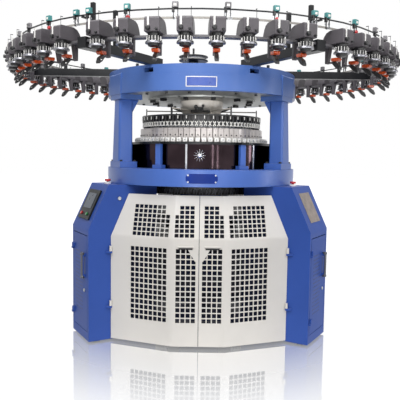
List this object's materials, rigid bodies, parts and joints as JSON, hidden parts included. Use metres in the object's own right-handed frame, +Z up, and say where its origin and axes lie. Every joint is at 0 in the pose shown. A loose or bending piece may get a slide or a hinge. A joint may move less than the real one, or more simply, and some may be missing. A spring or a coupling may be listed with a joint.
{
  "type": "circular knitting machine",
  "caption": "Large-diameter circular knitting machine: three cabinet legs with mesh gates, bed, needle cylinder, columns, crown and a wide ring of yarn feeders.",
  "frame": {"origin": "where the machine's vertical axis meets the floor", "axes": "+Z up, the front with the paired gates towards -Y, +X to the right seen from the front"},
  "size_m": [2.975, 2.98, 2.205],
  "materials": {
    "blue_paint": "satin",
    "black_paint": "gloss",
    "cream_paint": "satin",
    "steel": "satin",
    "bright_steel": "polished",
    "iron": "matte",
    "grey_paint": "satin",
    "aluminium": "machined",
    "feeder_grey": "matte",
    "black_plastic": "matte",
    "amber": "gloss",
    "teal": "gloss",
    "red_plastic": "gloss",
    "green_plastic": "gloss",
    "yellow_plastic": "satin",
    "tape": "matte",
    "rubber": "matte",
    "screen": "gloss",
    "plate": "satin"
  },
  "bodies": {
    "machine": {"legs": "blue_paint", "levelling_feet": "iron", "base_spider": "blue_paint", "bed": "blue_paint", "columns": "blue_paint", "crown": "blue_paint", "crown_under_plate": "steel", "dial_hub": "grey_paint", "motor": "grey_paint", "drive_belt": "rubber", "cylinder_cover": "black_paint", "saddle_ring": "black_paint", "saddle_posts": "blue_paint", "cam_boxes": "bright_steel", "stitch_adjusters": "aluminium", "yarn_guide_ring": "black_paint", "feeder_arms": "black_paint", "arm_clamps": "black_paint", "hoop_posts": "black_paint", "feeder_ring": "aluminium", "feeder_housings": "feeder_grey", "feeder_wheels": "steel", "feeder_guide_arms": "black_plastic", "feeder_lamps": "amber", "feeder_tape": "tape", "upper_hoop": "black_paint", "stop_motions": "teal", "quality_stand": "grey_paint", "hinge_pins": "steel", "control_panel": "black_plastic", "panel_screen": "screen", "slope_plate": "plate", "stop_collars": "yellow_plastic", "control_gear": "grey_paint", "oil_tank": "grey_paint"},
    "cylinder": {"needle_cylinder": "steel", "cylinder_gear": "steel", "takedown_ring": "iron", "takedown_frame": "cream_paint"},
    "dial": {"dial": "steel", "dial_gear": "steel"},
    "drive_shaft": {"drive_shaft": "steel"},
    "motor_pulley": {"motor_pulley": "steel"},
    "quality_pulley": {"quality_pulley": "aluminium"},
    "draw_roller": {"draw_roller": "rubber"},
    "nip_roller": {"nip_roller": "rubber"},
    "cloth_roller": {"cloth_roller": "steel"},
    "gate_front_a": {"gate_front_a": "cream_paint"},
    "gate_front_b": {"gate_front_b": "cream_paint"},
    "gate_rear_right_a": {"gate_rear_right_a": "cream_paint"},
    "gate_rear_right_b": {"gate_rear_right_b": "cream_paint"},
    "gate_rear_left_a": {"gate_rear_left_a": "cream_paint"},
    "gate_rear_left_b": {"gate_rear_left_b": "cream_paint"},
    "cabinet_door_left": {"cabinet_door_left": "blue_paint"},
    "cabinet_door_right": {"cabinet_door_right": "blue_paint"},
    "cabinet_door_rear": {"cabinet_door_rear": "blue_paint"},
    "stop_button": {"stop_button": "red_plastic"},
    "start_button": {"start_button": "green_plastic"},
    "emergency_stop_left": {"emergency_stop_left": "red_plastic"},
    "emergency_stop_right": {"emergency_stop_right": "red_plastic"}
  },
  "joints": [
    {"name": "cylinder_spin", "type": "hinge", "parent": "machine", "child": "cylinder", "pos_m": [0, 0, 1.17], "axis": [0, 0, 1], "continuous": true},
    {"name": "dial_spin", "type": "hinge", "parent": "machine", "child": "dial", "pos_m": [0, 0, 1.7], "axis": [0, 0, 1], "continuous": true},
    {"name": "drive_spin", "type": "hinge", "parent": "machine", "child": "drive_shaft", "pos_m": [0.1217, 0.5722, 1.17], "axis": [0, 0, 1], "continuous": true},
    {"name": "motor_spin", "type": "hinge", "parent": "machine", "child": "motor_pulley", "pos_m": [0, 0.8, 0.65], "axis": [0, 0, 1], "continuous": true},
    {"name": "quality_spin", "type": "hinge", "parent": "machine", "child": "quality_pulley", "pos_m": [-0.07, 0, 2.1], "axis": [0, 0, 1], "continuous": true},
    {"name": "draw_spin", "type": "hinge", "parent": "cylinder", "child": "draw_roller", "pos_m": [0, 0, 0.56], "axis": [1, 0, 0], "continuous": true},
    {"name": "nip_spin", "type": "hinge", "parent": "cylinder", "child": "nip_roller", "pos_m": [0, 0, 0.625], "axis": [1, 0, 0], "continuous": true},
    {"name": "cloth_spin", "type": "hinge", "parent": "cylinder", "child": "cloth_roller", "pos_m": [0, 0, 0.33], "axis": [1, 0, 0], "continuous": true},
    {"name": "gate_front_a_swing", "type": "hinge", "parent": "machine", "child": "gate_front_a", "pos_m": [0.63409, -0.59649, 0.5], "axis": [0, 0, 1], "range_deg": [0, 110]},
    {"name": "gate_front_b_swing", "type": "hinge", "parent": "machine", "child": "gate_front_b", "pos_m": [-0.63409, -0.59649, 0.5], "axis": [0, 0, -1], "range_deg": [0, 110]},
    {"name": "gate_rear_right_a_swing", "type": "hinge", "parent": "machine", "child": "gate_rear_right_a", "pos_m": [0.19953, 0.84739, 0.5], "axis": [0, 0, 1], "range_deg": [0, 110]},
    {"name": "gate_rear_right_b_swing", "type": "hinge", "parent": "machine", "child": "gate_rear_right_b", "pos_m": [0.83362, -0.2509, 0.5], "axis": [0, 0, -1], "range_deg": [0, 110]},
    {"name": "gate_rear_left_a_swing", "type": "hinge", "parent": "machine", "child": "gate_rear_left_a", "pos_m": [-0.83362, -0.2509, 0.5], "axis": [0, 0, 1], "range_deg": [0, 110]},
    {"name": "gate_rear_left_b_swing", "type": "hinge", "parent": "machine", "child": "gate_rear_left_b", "pos_m": [-0.19953, 0.84739, 0.5], "axis": [0, 0, -1], "range_deg": [0, 110]},
    {"name": "cabinet_door_left_swing", "type": "hinge", "parent": "machine", "child": "cabinet_door_left", "pos_m": [-0.95738, -0.37377, 0.42], "axis": [0, 0, -1], "range_deg": [0, 110]},
    {"name": "cabinet_door_right_swing", "type": "hinge", "parent": "machine", "child": "cabinet_door_right", "pos_m": [0.80238, -0.64223, 0.42], "axis": [0, 0, -1], "range_deg": [0, 110]},
    {"name": "cabinet_door_rear_swing", "type": "hinge", "parent": "machine", "child": "cabinet_door_rear", "pos_m": [0.155, 1.016, 0.42], "axis": [0, 0, -1], "range_deg": [0, 110]},
    {"name": "stop_button_press", "type": "slide", "parent": "machine", "child": "stop_button", "axis": [0.7819, 0.4514, -0.4299], "range_m": [0, 0.003], "stiffness_N_per_m": 400},
    {"name": "start_button_press", "type": "slide", "parent": "machine", "child": "start_button", "axis": [0.7819, 0.4514, -0.4299], "range_m": [0, 0.003], "stiffness_N_per_m": 400},
    {"name": "emergency_stop_left_press", "type": "slide", "parent": "machine", "child": "emergency_stop_left", "axis": [0, 0, -1], "range_m": [0, 0.005], "stiffness_N_per_m": 1500},
    {"name": "emergency_stop_right_press", "type": "slide", "parent": "machine", "child": "emergency_stop_right", "axis": [0, 0, -1], "range_m": [0, 0.005], "stiffness_N_per_m": 1500}
  ],
  "couplings": [
    {"joint": "dial_spin", "follows": "cylinder_spin", "ratio": 1},
    {"joint": "drive_spin", "follows": "cylinder_spin", "ratio": -8},
    {"joint": "motor_spin", "follows": "cylinder_spin", "ratio": -8},
    {"joint": "quality_spin", "follows": "cylinder_spin", "ratio": 3},
    {"joint": "draw_spin", "follows": "cylinder_spin", "ratio": 1},
    {"joint": "nip_spin", "follows": "cylinder_spin", "ratio": -1},
    {"joint": "cloth_spin", "follows": "cylinder_spin", "ratio": 0.71111}
  ]
}
